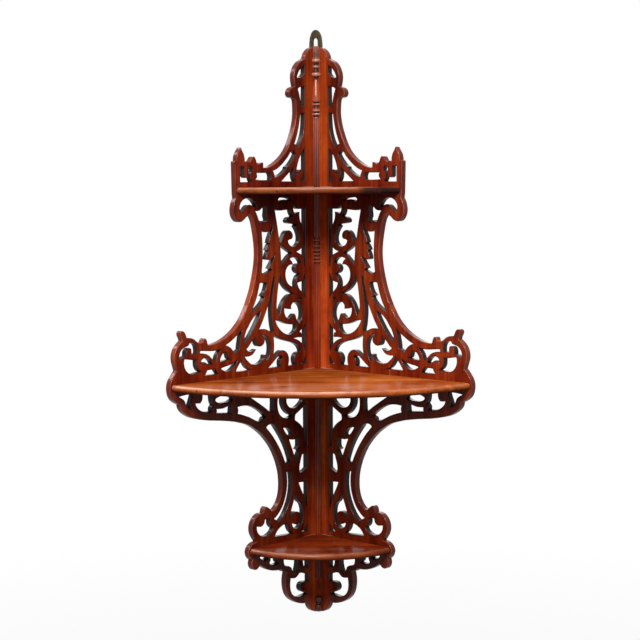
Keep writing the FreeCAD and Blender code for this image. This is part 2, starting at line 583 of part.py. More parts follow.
def closed_wire(strokes):
    """Closed wire of strokes; a single stroke is one smooth ring."""
    if len(strokes) == 1:
        ring = Part.BSplineCurve()
        ring.interpolate(Points=strokes[0], PeriodicFlag=True)
        return Part.Wire([ring.toShape()])
    edges = []
    for k, stroke in enumerate(strokes):
        end = strokes[(k + 1) % len(strokes)][0]
        edges.append(stroke_edge(stroke + [end]))
    return Part.Wire(edges)


def pattern_wire(side, strokes):
    """Wire of pattern strokes on the wall face of a side board."""
    return closed_wire([[at(side, u, 0, z) for u, z in (to_board(*p) for p in s)] for s in strokes])


def slab(side, u_range, w_range, z_range):
    """Box given by its ranges along a side board."""
    a = at(side, u_range[0], w_range[0], z_range[0])
    b = at(side, u_range[1], w_range[1], z_range[1])
    low = Vector(min(a.x, b.x), min(a.y, b.y), min(a.z, b.z))
    return Part.makeBox(abs(a.x - b.x), abs(a.y - b.y), abs(a.z - b.z), low)


def plank(side, wires):
    """Board of the full thickness cut to the wires, the first of which is the outline."""
    face = Part.makeFace(wires, "Part::FaceMakerBullseye")
    return face.extrude(inward(side) * BOARD_T)


def fret_board(side):
    """Whole side board with its openings. The right one laps behind the left one's edge."""
    outline = list(OUTLINE)
    if side == "right":
        outline.append([(-BOARD_T, OUTLINE[-1][0][1])])
        outline.append([(-BOARD_T, OUTLINE[0][0][1])])
    return plank(side, [pattern_wire(side, strokes) for strokes in [outline] + OPENINGS])


def beyond(side, seam, z_low, z_high):
    """Everything of a side board past the glue seam between two pattern heights."""
    bends = [z for z in PATTERN_LEVELS if z_low < z < z_high]
    inner = [[(seam, z)] for z in [z_low] + bends + [z_high]]
    far = seam + max(PATTERN_REACHES)
    outer = [[(far, z_high)], [(far, z_low)]]
    return plank(side, [pattern_wire(side, inner + outer)])


def split_board(side, board):
    """Main board, wing board and gallery end. A fret end that hangs on the wing alone stays with it."""
    seam, foot, parting = PATTERN_SEAM
    wing_zone = beyond(side, seam, foot, parting)
    gallery_zone = beyond(side, seam, parting, PATTERN_LEVELS[-1])
    gallery = board.common(gallery_zone)
    wing = board.common(wing_zone)
    pieces = sorted(board.cut([wing_zone, gallery_zone]).Solids, key=lambda s: s.Volume)
    if len(pieces) > 1:
        wing = wing.fuse(pieces[:-1]).removeSplitter()
    return pieces[-1], wing, gallery


class Shelf:
    """A quarter-round shelf with its housings and screw places."""

    def __init__(self, top, reach, screws_per_side):
        self.top = top
        self.radius = reach - RIM_SETBACK
        self.screws_per_side = screws_per_side

    def housing(self, side):
        """Stopped groove in the front of a side board."""
        return slab(side, (0, self.radius - HOUSING_STOP + HOUSING_FIT),
                    (BOARD_T - HOUSING_DEPTH - HOUSING_FIT, BOARD_T),
                    (self.top - SHELF_T - HOUSING_FIT, self.top + HOUSING_FIT))

    def tongue(self, side):
        """Straight edge of the shelf that enters the groove."""
        return slab(side, (HOUSING_FIT, self.radius - HOUSING_STOP),
                    (BOARD_T - HOUSING_DEPTH, BOARD_T),
                    (self.top - SHELF_T, self.top))

    def solid(self):
        """Quarter disc about the inner corner with a half-round rim, and its two tongues."""
        x, y = BOARD_T, -BOARD_T
        low = self.top - SHELF_T
        flat = x + self.radius - SHELF_T / 2
        rim = Part.Arc(Vector(flat, y, low), Vector(x + self.radius, y, low + SHELF_T / 2),
                       Vector(flat, y, self.top)).toShape()
        section = Part.Wire([
            Part.makeLine(Vector(x, y, low), Vector(flat, y, low)),
            rim,
            Part.makeLine(Vector(flat, y, self.top), Vector(x, y, self.top)),
            Part.makeLine(Vector(x, y, self.top), Vector(x, y, low)),
        ])
        disc = Part.Face(section).revolve(Vector(x, y, 0), Vector(0, 0, 1), -90)
        return disc.fuse([self.tongue("left"), self.tongue("right")]).removeSplitter()

    def screw_spots(self):
        """Screws from behind into the shelf's edge, at mid thickness."""
        step = (self.radius - SHELF_SCREW_OUT - SHELF_SCREW_IN) / (self.screws_per_side - 1)
        return [(side, SHELF_SCREW_IN + k * step, self.top - SHELF_T / 2)
                for side in ("left", "right") for k in range(self.screws_per_side)]


class ScrewSet:
    """Alike screws driven from the wall side of the boards."""

    def __init__(self, spots, radius, head_r, length):
        self.spots = spots
        self.radius = radius
        self.head_r = head_r
        self.length = length

    def blank(self, spot):
        """Screw without its driver slot: countersunk head, shank, tapered tip."""
        side, u, z = spot
        way = inward(side)
        start = at(side, u, 0, z)
        head_h = self.head_r - self.radius
        shank = self.length - head_h - SCREW_TIP
        head = Part.makeCone(self.head_r, self.radius, head_h, start, way)
        body = Part.makeCylinder(self.radius, shank, start + way * head_h, way)
        tip = Part.makeCone(self.radius, SCREW_POINT_R, SCREW_TIP, start + way * (head_h + shank), way)
        return head.fuse([body, tip]).removeSplitter()

    def blanks(self):
        return [self.blank(spot) for spot in self.spots]

    def solid(self):
        screws = []
        for side, u, z in self.spots:
            slot = slab(side, (u - DRIVER_SLOT_W / 2, u + DRIVER_SLOT_W / 2), (0, DRIVER_SLOT_DEPTH),
                        (z - self.head_r, z + self.head_r))
            screws.append(self.blank((side, u, z)).cut(slot))
        return Part.makeCompound(screws)


def arch_edge(points):
    """A round arch through three points, a smooth one through more."""
    if len(points) == 3:
        return Part.Arc(*points).toShape()
    return stroke_edge(points)


def hanger_leaf(side, half_w, low, arch):
    """Prism of the plate's thickness on one wall, half_w wide at its foot, below an arch."""
    corner = at(side, -BOARD_T, 0, low)
    toe = at(side, half_w - BOARD_T, 0, low)
    curve = [at(side, s - BOARD_T, 0, z) for s, z in arch]
    edges = [Part.makeLine(corner, toe), Part.makeLine(toe, curve[0]), arch_edge(curve),
             Part.makeLine(curve[-1], corner)]
    return Part.Face(Part.Wire(edges)).extrude(inward(side) * PLATE_T)


def hanger_fold(half_w, low, arch):
    """Two leaves that close in an arch over the corner; arch: (distance from the corner, height)."""
    leaves = [hanger_leaf(side, half_w, low, arch) for side in ("left", "right")]
    return leaves[0].fuse(leaves[1]).removeSplitter()


def hanger_blank():
    arch = [(ARCH_HALF_W * out, Z_CREST + (ARCH_RISE - Z_CREST) * up) for out, up in ARCH_SHAPE]
    return hanger_fold(BOARD_T + PLATE_LAP, Z_CREST - PLATE_DEPTH, arch)


def hanger_slot():
    slant = SLOT_R * math.sqrt(0.5)
    arch = [(SLOT_R, -SLOT_R), (slant, slant - SLOT_R), (0, 0)]
    return hanger_fold(SLOT_R, Z_CREST - SLOT_SINK, arch)


def turned(strokes, z_start):
    """Quarter turning about the inner corner: (radius, depth under z_start) strokes from top to foot."""
    x, y = BOARD_T, -BOARD_T
    top = strokes[0][0][1]
    foot = strokes[-1][-1][1]
    placed = [[Vector(x + r, y, z_start - d) for r, d in stroke] for stroke in strokes]
    placed[-1].append(Vector(x, y, z_start - foot))
    edges = []
    for stroke, after in zip(placed, placed[1:]):
        edges.append(stroke_edge(stroke + [after[0]]))
    edges += [Part.makeLine(a, b) for a, b in zip(placed[-1], placed[-1][1:])]
    edges.append(Part.makeLine(placed[-1][-1], Vector(x, y, z_start - top)))
    edges.append(Part.makeLine(Vector(x, y, z_start - top), placed[0][0]))
    return Part.Face(Part.Wire(edges)).revolve(Vector(x, y, 0), Vector(0, 0, 1), -90)


def reeded(z_low, z_high):
    """Quarter column with fine reeds along it."""
    def rim(radius, share):
        turn = -math.pi / 2 * share
        return Vector(BOARD_T + radius * math.cos(turn), -BOARD_T + radius * math.sin(turn), z_low)
    root = COLUMN_R - REED_RISE
    axis = Vector(BOARD_T, -BOARD_T, z_low)
    edges = [Part.makeLine(axis, rim(root, 0))]
    for k in range(REEDS):
        crown = rim(COLUMN_R, (k + 0.5) / REEDS)
        edges.append(Part.Arc(rim(root, k / REEDS), crown, rim(root, (k + 1) / REEDS)).toShape())
    edges.append(Part.makeLine(rim(root, 1), axis))
    return Part.Face(Part.Wire(edges)).extrude(Vector(0, 0, z_high - z_low))


def crest_column():
    """Vase and rings over a reeded length that stands on the top shelf."""
    strokes = CREST_TURNING + [[(COLUMN_R - REED_RISE, CREST_TURNING_END)]]
    return turned(strokes, Z_CREST).fuse(reeded(Z_TOP, Z_CREST - CREST_TURNING_END)).removeSplitter()


def upper_column():
    """Reeded column with a group of rings, between the top and the middle shelf."""
    under = Z_TOP - SHELF_T
    start = RING_DROPS[0] - RING_H
    foot = RING_DROPS[-1] + RING_H
    strokes = [[(RING_CORE_R, start)]]
    for drop in RING_DROPS:
        strokes.append([(RING_CORE_R, drop - RING_H / 2), (RING_R, drop)])
        strokes.append([(RING_CORE_R, drop + RING_H / 2)])
    strokes.append([(RING_CORE_R, foot)])
    above = reeded(under - start, under)
    below = reeded(Z_MIDDLE, under - foot)
    return turned(strokes, under).fuse([above, below]).removeSplitter()


def corner_drop():
    """Small turned end at the foot of the corner."""
    return turned(DROP_TURNING, Z_FOOT + DROP_LENGTH)


def even_levels(low, high, count):
    """Heights that part a stretch of the corner into equal lengths."""
    return [low + (high - low) * (k + 1) / (count + 1) for k in range(count)]


def corner_screw_spots():
    """Along the joint of the two boards, clear of the shelves."""
    heights = even_levels(Z_TOP, Z_CREST, CREST_SCREWS)
    heights += even_levels(Z_MIDDLE, Z_TOP - SHELF_T, WAIST_SCREWS)
    heights += even_levels(Z_BOTTOM, Z_MIDDLE - SHELF_T, BRACKET_SCREWS)
    heights += even_levels(Z_FOOT, Z_BOTTOM - SHELF_T, TAIL_SCREWS)
    return [("right", -BOARD_T / 2, z) for z in heights]


def build():
    shelves = {
        "top_shelf": Shelf(Z_TOP, TOP_REACH, TOP_SHELF_SCREWS),
        "middle_shelf": Shelf(Z_MIDDLE, MIDDLE_REACH, MIDDLE_SHELF_SCREWS),
        "bottom_shelf": Shelf(Z_BOTTOM, BOTTOM_REACH, BOTTOM_SHELF_SCREWS),
    }
    screw_sets = {}
    for name, shelf in shelves.items():
        screw_sets[name + "_screws"] = ScrewSet(shelf.screw_spots(), SHELF_SCREW_R, SHELF_SCREW_HEAD_R,
                                                BOARD_T + SHELF_SCREW_BITE)
    screw_sets["corner_screws"] = ScrewSet(corner_screw_spots(), CORNER_SCREW_R, CORNER_SCREW_HEAD_R,
                                           BOARD_T + SPINE_W - CORNER_SCREW_MARGIN)
    hanger_spots = [(side, HANGER_SCREW_IN, Z_CREST - drop)
                    for side in ("left", "right") for drop in HANGER_SCREW_DROPS]
    screw_sets["hanger_screws"] = ScrewSet(hanger_spots, HANGER_SCREW_R, HANGER_SCREW_HEAD_R,
                                           BOARD_T - HANGER_SCREW_SKIN)
    bores = [blank for screws in screw_sets.values() for blank in screws.blanks()]

    nodes = {}
    for side in ("left", "right"):
        cuts = [shelf.housing(side) for shelf in shelves.values()] + [hanger_blank()] + bores
        main, wing, gallery = split_board(side, fret_board(side).cut(cuts))
        nodes[side + "_main_board"] = main
        nodes[side + "_wing_board"] = wing
        nodes[side + "_gallery_end"] = gallery
    for name, shelf in shelves.items():
        nodes[name] = shelf.solid().cut(screw_sets[name + "_screws"].blanks())
    nodes["crest_column"] = crest_column()
    nodes["upper_column"] = upper_column()
    nodes["lower_column"] = reeded(Z_BOTTOM, Z_MIDDLE - SHELF_T)
    nodes["pendant_column"] = reeded(Z_BOTTOM - SHELF_T - PENDANT_LENGTH, Z_BOTTOM - SHELF_T)
    nodes["corner_drop"] = corner_drop()
    nodes["hanger_plate"] = hanger_blank().cut([hanger_slot()] + screw_sets["hanger_screws"].blanks())
    for name, screws in screw_sets.items():
        nodes[name] = screws.solid()
    return nodes


os.makedirs("parts", exist_ok=True)
for node, shape in build().items():
    shape.exportStep("parts/" + node + ".step")
    print(node, shape.isValid(), len(shape.Solids), round(shape.Volume))
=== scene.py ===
import json
import math

import bpy
import numpy as np
from mathutils import Matrix


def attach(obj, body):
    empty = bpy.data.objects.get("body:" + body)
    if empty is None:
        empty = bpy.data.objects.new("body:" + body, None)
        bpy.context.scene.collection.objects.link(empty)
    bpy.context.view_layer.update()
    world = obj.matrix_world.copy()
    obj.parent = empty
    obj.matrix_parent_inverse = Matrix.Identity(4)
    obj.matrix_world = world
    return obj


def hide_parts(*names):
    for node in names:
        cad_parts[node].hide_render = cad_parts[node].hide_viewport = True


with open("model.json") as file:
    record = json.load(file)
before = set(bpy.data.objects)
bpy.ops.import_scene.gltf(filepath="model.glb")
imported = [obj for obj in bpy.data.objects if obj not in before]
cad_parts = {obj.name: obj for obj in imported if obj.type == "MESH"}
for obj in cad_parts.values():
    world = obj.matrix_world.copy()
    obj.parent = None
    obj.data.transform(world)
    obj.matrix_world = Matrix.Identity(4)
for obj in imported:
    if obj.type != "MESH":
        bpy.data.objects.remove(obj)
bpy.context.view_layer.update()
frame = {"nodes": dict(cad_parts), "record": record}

# Hanging corner shelf in polished mahogany. Metres, Z up: the left board lies on the wall X = 0 and runs
# to -Y, the right board lies on the wall Y = 0 and runs to +X, and the shelves are quarter discs about
# the inner corner where the two fronts meet.

BOARD_T = 0.0095
SHELF_T = 0.010
INNER_CORNER = np.array([BOARD_T, -BOARD_T])
GLUE_SEAM = 0.152
HOUSING_STOP = 0.016
HOUSING_DEPTH = 0.003
HOUSING_FIT = 0.0001

# Top of each shelf and its radius about the inner corner
SHELVES = {
    "top_shelf": (-0.233, 0.1732),
    "middle_shelf": (-0.519, 0.3071),
    "bottom_shelf": (-0.786, 0.1518),
}

# Every piece of timber and metal has its own number, so that no two share their figure
PLANKS = [part["node"] for part in frame["record"]["subparts"]]

# How far the saw-cut arrises are eased: fronts, backs, along glue seams and against the shelves
FRONT_EASE = 0.0015
BACK_EASE = 0.0004
SEAM_EASE = 0.00012
SHELF_EASE = 0.00005

# How an arris is made: its strips, the most it takes of the timber's width, the verge beside it as a share
# of the ease, the steepest change along the rim, the longest mitre, and the rounds that settle its depth,
# each of which cuts the depth back where the face folds over
EASE_STEPS = 4
EASE_SHARE = 0.22
VERGE = 0.95
EASE_SLOPE = 0.5
MITRE_LIMIT = 1.8
EASE_ROUNDS = 40
FOLD_CUT = 0.7
LEAST_FACE = 1e-11

# Spacing of the places along a rim to which the timber's width is measured, the cosine of how far off the
# inward way such a place may lie, and how many points are measured at once
RIM_SPACING = 0.001
INWARD_COSINE = 0.7
SPOTS_AT_ONCE = 300

# Most points that a saw-cut wall has between its two faces
WALL_ROWS = 12

# How near counts as on a flat face, on a seam or the corner line, beside a shelf and at a housing's stop,
# and the grid on which points become one
FLAT_WITHIN = 2e-6
LINE_WITHIN = 5e-5
SHELF_WITHIN = 2e-4
STOP_WITHIN = 5e-4
MICRONS_PER_METRE = 1e6

# Corners sharper than this stay sharp
SHARP_ANGLE = math.radians(40)

# Steps in which a turning's outline is read, how many make the span of its mean, and how far inside or
# outside the mean a full hollow or ring lies
TURNING_STEP = 0.00025
TURNING_SPAN = 29
HOLLOW_DEPTH = 0.0008
RING_HEIGHT = 0.0006

# Steps along a shelf's arc and over its rim, and the crown of the rim, where it wears most and carries a
# painted highlight: its angle over the middle and how wide it is, in radians
ARC_STEPS = 120
RIM_STEPS = 18
CROWN_ANGLE = 0.90
CROWN_SPREAD = 0.5


def unit(vectors):
    """The vectors at length 1."""
    return vectors / np.maximum(np.linalg.norm(vectors, axis=-1, keepdims=True), 1e-12)


def mesh_piece(name, points, face_sets, marks):
    """Object at the origin from points, arrays of faces with one row of corners each, and the marks,
    one number a point, that the finish reads."""
    mesh = bpy.data.meshes.new(name)
    corners = np.concatenate([faces.ravel() for faces in face_sets])
    sizes = np.concatenate([np.full(len(faces), faces.shape[1]) for faces in face_sets])
    mesh.vertices.add(len(points))
    mesh.vertices.foreach_set("co", points.astype(np.float32).ravel())
    mesh.loops.add(len(corners))
    mesh.loops.foreach_set("vertex_index", corners.astype(np.int32))
    mesh.polygons.add(len(sizes))
    mesh.polygons.foreach_set("loop_start", (np.cumsum(sizes) - sizes).astype(np.int32))
    for mark, values in marks.items():
        layer = mesh.attributes.new(mark, "FLOAT", "POINT")
        layer.data.foreach_set("value", values.astype(np.float32))
    mesh.update(calc_edges=True)
    mesh.validate()
    mesh.shade_smooth()
    mesh.set_sharp_from_angle(angle=SHARP_ANGLE)
    piece = bpy.data.objects.new(name, mesh)
    bpy.context.scene.collection.objects.link(piece)
    flat = piece.modifiers.new("flat_faces", "WEIGHTED_NORMAL")
    flat.mode = "FACE_AREA"
    flat.keep_sharp = True
    return piece


def stand_for(piece, node, finish):
    """The piece takes the node's place and wears the finish."""
    piece.data.materials.append(finish)
    slot = next(part["material_slot"] for part in frame["record"]["subparts"] if part["node"] == node)
    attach(piece, "root")
    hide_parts(node)


def merged(points):
    """Points that lie within a micron made one: where each is first found, and every point's new number."""
    spots = np.round(points * MICRONS_PER_METRE).astype(np.int64)
    first, joined = np.unique(spots, axis=0, return_index=True, return_inverse=True)[1:]
    return first, joined.ravel()


def sawn_blank(node):
    """Points and triangles of a piece as it leaves the saw or the lathe."""
    mesh = frame["nodes"][node].data
    points = np.empty(len(mesh.vertices) * 3)
    mesh.vertices.foreach_get("co", points)
    points = points.reshape(-1, 3)
    corners = np.empty(len(mesh.loops), dtype=np.int64)
    mesh.loops.foreach_get("vertex_index", corners)
    first, joined = merged(points)
    triangles = joined[corners].reshape(-1, 3)
    a, b, c = triangles.T
    return points[first], triangles[(a != b) & (b != c) & (c != a)]


def unshared(sides, count):
    """Sides that no other side runs along the other way."""
    return sides[~np.isin(sides[:, 0] * count + sides[:, 1], sides[:, 1] * count + sides[:, 0])]


def flat_rim(points, triangles, out, level):
    """Which triangles lie on the flat face that looks along out, and the sides that make that face's rim."""
    flat = np.abs(points[triangles] @ out - level).max(axis=1) < FLAT_WITHIN
    sides = triangles[flat][:, [[0, 1], [1, 2], [2, 0]]].reshape(-1, 2)
    return flat, unshared(sides, len(points))


def outline_marks(blanks, out, along):
    """For each board of a side, 1 on the walls of the whole side's outline and 0 on those of its openings.
    On either face the two edges of a glue seam cancel, each loop of the rim takes its lowest point number by
    doubling the step along it, and the loops whose signed area is positive are the outline. The mark then
    spreads over the thickness, from triangle to triangle."""
    counts = [len(points) for points, triangles in blanks]
    points = np.concatenate([points for points, triangles in blanks])
    starts = np.cumsum(counts) - counts
    triangles = np.concatenate([blank[1] + start for blank, start in zip(blanks, starts)])
    first, joined = merged(points)
    walls = np.abs((points @ along - BOARD_T)[triangles] - GLUE_SEAM).max(axis=1) > LINE_WITHIN
    outer = np.zeros(len(first))
    for way, level in ((out, BOARD_T), (-out, 0.0)):
        flat, sides = flat_rim(points, triangles, way, level)
        walls &= ~flat
        begin, end = unshared(joined[sides], len(first)).T
        after = np.arange(len(first))
        after[begin] = end
        loop = np.arange(len(first))
        for doubling in range(len(first).bit_length()):
            loop = np.minimum(loop, loop[after])
            after = after[after]
        area = np.zeros(len(first))
        np.add.at(area, loop[begin], np.cross(points[first[begin]], points[first[end]]) @ way / 2)
        outer[begin] = area[loop[begin]] > 0
    marks = outer[joined]
    walls = triangles[walls]
    for row in range(WALL_ROWS):
        np.maximum.at(marks, walls, marks[walls].max(axis=1, keepdims=True))
    return np.split(marks, np.cumsum(counts)[:-1])


def fret_width(points, rim, spots, inward):
    """How wide the timber is at each rim point: the distance, within about 45 degrees of its inward way, to
    the nearest of the places that lie every millimetre along the rim."""
    start, run = points[rim[:, 0]], points[rim[:, 1]] - points[rim[:, 0]]
    counts = np.ceil(np.linalg.norm(run, axis=1) / RIM_SPACING).astype(int)
    side = np.repeat(np.arange(len(rim)), counts)
    share = (np.arange(len(side)) - np.repeat(np.cumsum(counts) - counts, counts)) / counts[side]
    places = start[side] + share[:, None] * run[side]
    widths = []
    for part in np.array_split(np.arange(len(spots)), 1 + len(spots) // SPOTS_AT_ONCE):
        step = places - points[spots[part], None]
        far = np.linalg.norm(step, axis=2)
        ahead = np.einsum("ijk,ik->ij", step, inward[part])
        widths.append(np.where(ahead > INWARD_COSINE * far + 1e-6, far, np.inf).min(axis=1))
    return np.concatenate(widths)


def ease_face(points, triangles, marks, out, level, ease):
    """Rounds the arris of the flat face that looks along out. At a turn of the face's rim the inset is
    2 m / |m|^2, where m is the sum of the two sides' inward normals. Ring t of the arris lies (1 - cos t) of
    the ease along the inset and (1 - sin t) of it below the face, for t from 0 on the sawn wall to a quarter
    turn on the face. A last ring lies further in on the face itself, and between the two runs the verge. The
    ease is at most a share of the timber's width, changes gently along the rim, and is less where the inset
    would fold the face over."""
    flat, rim = flat_rim(points, triangles, out, level)
    count = len(points)
    spots = np.unique(rim)
    place = np.full(count, -1)
    place[spots] = np.arange(len(spots))
    run = points[rim[:, 1]] - points[rim[:, 0]]
    inward = unit(np.cross(out, run))
    turn = np.zeros((len(spots), 3))
    np.add.at(turn, place[rim[:, 0]], inward)
    np.add.at(turn, place[rim[:, 1]], inward)
    mitre = 2 * turn / np.maximum((turn ** 2).sum(axis=1, keepdims=True), 1e-9)
    length = np.linalg.norm(mitre, axis=1, keepdims=True)
    mitre *= np.minimum(1, MITRE_LIMIT / np.maximum(length, 1e-9))
    begin, end = place[rim].T
    length = np.linalg.norm(run, axis=1)
    depth = np.minimum(ease(points[spots]), EASE_SHARE * fret_width(points, rim, spots, unit(turn)))
    for settling in range(EASE_ROUNDS):
        np.minimum.at(depth, begin, depth[end] + EASE_SLOPE * length)
        np.minimum.at(depth, end, depth[begin] + EASE_SLOPE * length)
        inset = points.copy()
        inset[spots] += (1 + VERGE) * depth[:, None] * mitre
        a, b, c = inset[triangles[flat]].transpose(1, 0, 2)
        folded = place[triangles[flat][np.cross(b - a, c - a) @ out < LEAST_FACE]]
        depth[folded[folded >= 0]] *= FOLD_CUT
    depth = depth[:, None]

    turns = np.linspace(0, math.pi / 2, EASE_STEPS + 1)
    rounded = [points[spots] + depth * ((1 - math.cos(t)) * mitre - (1 - math.sin(t)) * out) for t in turns]
    rounded.append(points[spots] + (1 + VERGE) * depth * mitre)
    eased = points.copy()
    eased[spots] = rounded[0]
    rings = [spots] + [count + k * len(spots) + np.arange(len(spots)) for k in range(EASE_STEPS + 1)]
    face = triangles[flat].copy()
    on_rim = place[face] >= 0
    face[on_rim] = rings[-1][place[face[on_rim]]]
    strips = [np.stack([over[end], over[begin], under[begin], under[end]], axis=1)
              for under, over in zip(rings, rings[1:])]

    grown = {mark: np.concatenate([values] + [values[spots]] * (EASE_STEPS + 1))
             for mark, values in marks.items()}
    for k, ring in enumerate(rings):
        grown["sawn"][ring] = max(0, 1 - k / EASE_STEPS)
        grown["arris"][ring] = 0 < k < EASE_STEPS
        grown["verge"][ring] = k <= EASE_STEPS
    return np.concatenate([eased] + rounded[1:]), triangles[~flat], face, strips, grown


SIDE_BOARDS = ["_main_board", "_wing_board", "_gallery_end"]


def fret_side(side, finish):
    """The three boards of a side with their arrises eased on both faces, and their marks: sawn on the
    thickness, outer on the outline, arris on the eased edges, verge beside them, back towards the wall, and
    plank, a number of each board's own."""
    out, along = np.eye(3)[0], -np.eye(3)[1]
    if side == "right":
        out, along = along, out
    blanks = [sawn_blank(side + board) for board in SIDE_BOARDS]
    outers = outline_marks(blanks, out, along)

    def ease_to(depth, meets_shelves):
        def ease(spots):
            reach = spots @ along - BOARD_T
            eased = np.full(len(spots), depth)
            eased[np.abs(reach - GLUE_SEAM) < LINE_WITHIN] = SEAM_EASE
            eased[np.abs(reach) < LINE_WITHIN] = SHELF_EASE
            for top, radius in SHELVES.values():
                level = (spots[:, 2] < top + SHELF_WITHIN) & (spots[:, 2] > top - SHELF_T - SHELF_WITHIN)
                housed = level & (reach < radius - HOUSING_STOP + STOP_WITHIN)
                eased[housed & meets_shelves] = SHELF_EASE
            return eased
        return ease

    for board, (points, triangles), outer in zip(SIDE_BOARDS, blanks, outers):
        node = side + board
        marks = {mark: np.zeros(len(points)) for mark in ("sawn", "arris", "verge")} | {"outer": outer}
        points, rest, face, face_strips, marks = ease_face(
            points, triangles, marks, out, BOARD_T, ease_to(FRONT_EASE, True))
        points, rest, wall_face, wall_strips, marks = ease_face(
            points, rest, marks, -out, 0.0, ease_to(BACK_EASE, False))
        marks["sawn"][np.unique(rest)] = 1
        marks["back"] = np.zeros(len(points))
        marks["back"][np.unique(wall_face)] = 1
        marks["plank"] = np.full(len(points), PLANKS.index(node))
        piece = mesh_piece(node + "_polished", points,
                           [rest, face, wall_face] + face_strips + wall_strips, marks)
        stand_for(piece, node, finish)


def smooth_copy(node, finish):
    """A turned or folded piece as it is, with its facets shaded as one surface. Its marks hollow and ring
    are how far a point lies inside or outside the mean radius over about 7 mm of the turning's height."""
    points, triangles = sawn_blank(node)
    radius = np.linalg.norm(points[:, :2] - INNER_CORNER, axis=1)
    levels, level = np.unique(np.round(points[:, 2], 5), return_inverse=True)
    widest = np.zeros(len(levels))
    np.maximum.at(widest, level.ravel(), radius)
    heights = np.arange(levels[0], levels[-1], TURNING_STEP)
    outline = np.pad(np.interp(heights, levels, widest), TURNING_SPAN // 2, mode="edge")
    even = np.full(TURNING_SPAN, 1 / TURNING_SPAN)
    mean = np.interp(points[:, 2], heights, np.convolve(outline, even, "valid"))
    marks = {"plank": np.full(len(points), PLANKS.index(node)),
             "hollow": np.clip((mean - radius) / HOLLOW_DEPTH, 0, 1),
             "ring": np.clip((radius - mean) / RING_HEIGHT, 0, 1)}
    stand_for(mesh_piece(node + "_finished", points, [triangles], marks), node, finish)


def quarter_shelf(node, finish):
    """A quarter disc with a half-round rim and a tongue in each housing. The plan's outline is carried up
    the thickness: at t from -90 to 90 degrees it lies at half the thickness times sin t from the middle,
    and the arc is drawn in towards the corner by half the thickness times 1 - cos t. Its marks are arris on
    the rim, crown where hands rub it and where the finish paints a highlight, under below it, where the
    finish paints shade, and plank."""
    top, radius = SHELVES[node]
    half = SHELF_T / 2
    stop = radius - HOUSING_STOP
    turn = np.linspace(-math.pi / 2, 0, ARC_STEPS + 1)
    arc = radius * np.stack([np.cos(turn), np.sin(turn)], axis=1)
    left = np.array([(0, -HOUSING_FIT), (-HOUSING_DEPTH, -HOUSING_FIT), (-HOUSING_DEPTH, -stop), (0, -stop)])
    right = np.array([(stop, 0), (stop, HOUSING_DEPTH), (HOUSING_FIT, HOUSING_DEPTH), (HOUSING_FIT, 0)])
    plan = np.concatenate([left, arc, right, [(0, 0)]])
    drawn_in = np.concatenate([left * 0, -unit(arc), right * 0, [(0, 0)]])
    t = np.linspace(-math.pi / 2, math.pi / 2, RIM_STEPS + 1)[:, None, None]
    spread = INNER_CORNER + plan + half * (1 - np.cos(t)) * drawn_in
    height = np.broadcast_to(top - half + half * np.sin(t), spread.shape[:2] + (1,))
    points = np.concatenate([spread, height], axis=2)

    rows, columns = points.shape[:2]
    index = np.arange(rows * columns).reshape(rows, columns)
    beside = np.roll(index, -1, axis=1)
    wall = np.stack([index[:-1], beside[:-1], beside[1:], index[1:]], axis=2).reshape(-1, 4)
    on_rim = np.linalg.norm(drawn_in, axis=1)
    rise = t[:, :, 0]
    marks = {"arris": (np.cos(rise) ** 2 * on_rim).ravel(),
             "crown": (np.exp(-((rise - CROWN_ANGLE) / CROWN_SPREAD) ** 2) * on_rim).ravel(),
             "under": (np.clip(-np.sin(rise), 0, 1) * on_rim).ravel(),
             "plank": np.full(rows * columns, PLANKS.index(node))}
    piece = mesh_piece(node + "_polished", points.reshape(-1, 3), [wall, index[:1, ::-1], index[-1:]], marks)
    stand_for(piece, node, finish)


class Value:
    """A socket of a finish. Arithmetic on it adds Math nodes."""

    def __init__(self, finish, socket):
        self.finish = finish
        self.socket = socket

    def math(self, operation, *values):
        return self.finish.add("ShaderNodeMath", {"operation": operation}, dict(enumerate(values)))

    def __add__(self, other):
        return self.math("ADD", self, other)

    def __sub__(self, other):
        return self.math("SUBTRACT", self, other)

    def __rsub__(self, other):
        return self.math("SUBTRACT", other, self)

    def __mul__(self, other):
        return self.math("MULTIPLY", self, other)

    __radd__ = __add__
    __rmul__ = __mul__

    def between(self, low, high):
        """Smooth step from 0 at low to 1 at high."""
        return self.finish.add("ShaderNodeMapRange", {"interpolation_type": "SMOOTHSTEP"},
                               {"Value": self, "From Min": low, "From Max": high})

    def near(self, centre, width):
        """1 at the centre, falling to 0 at a width on either side."""
        return 1 - self.math("ABSOLUTE", self - centre).between(0, width)


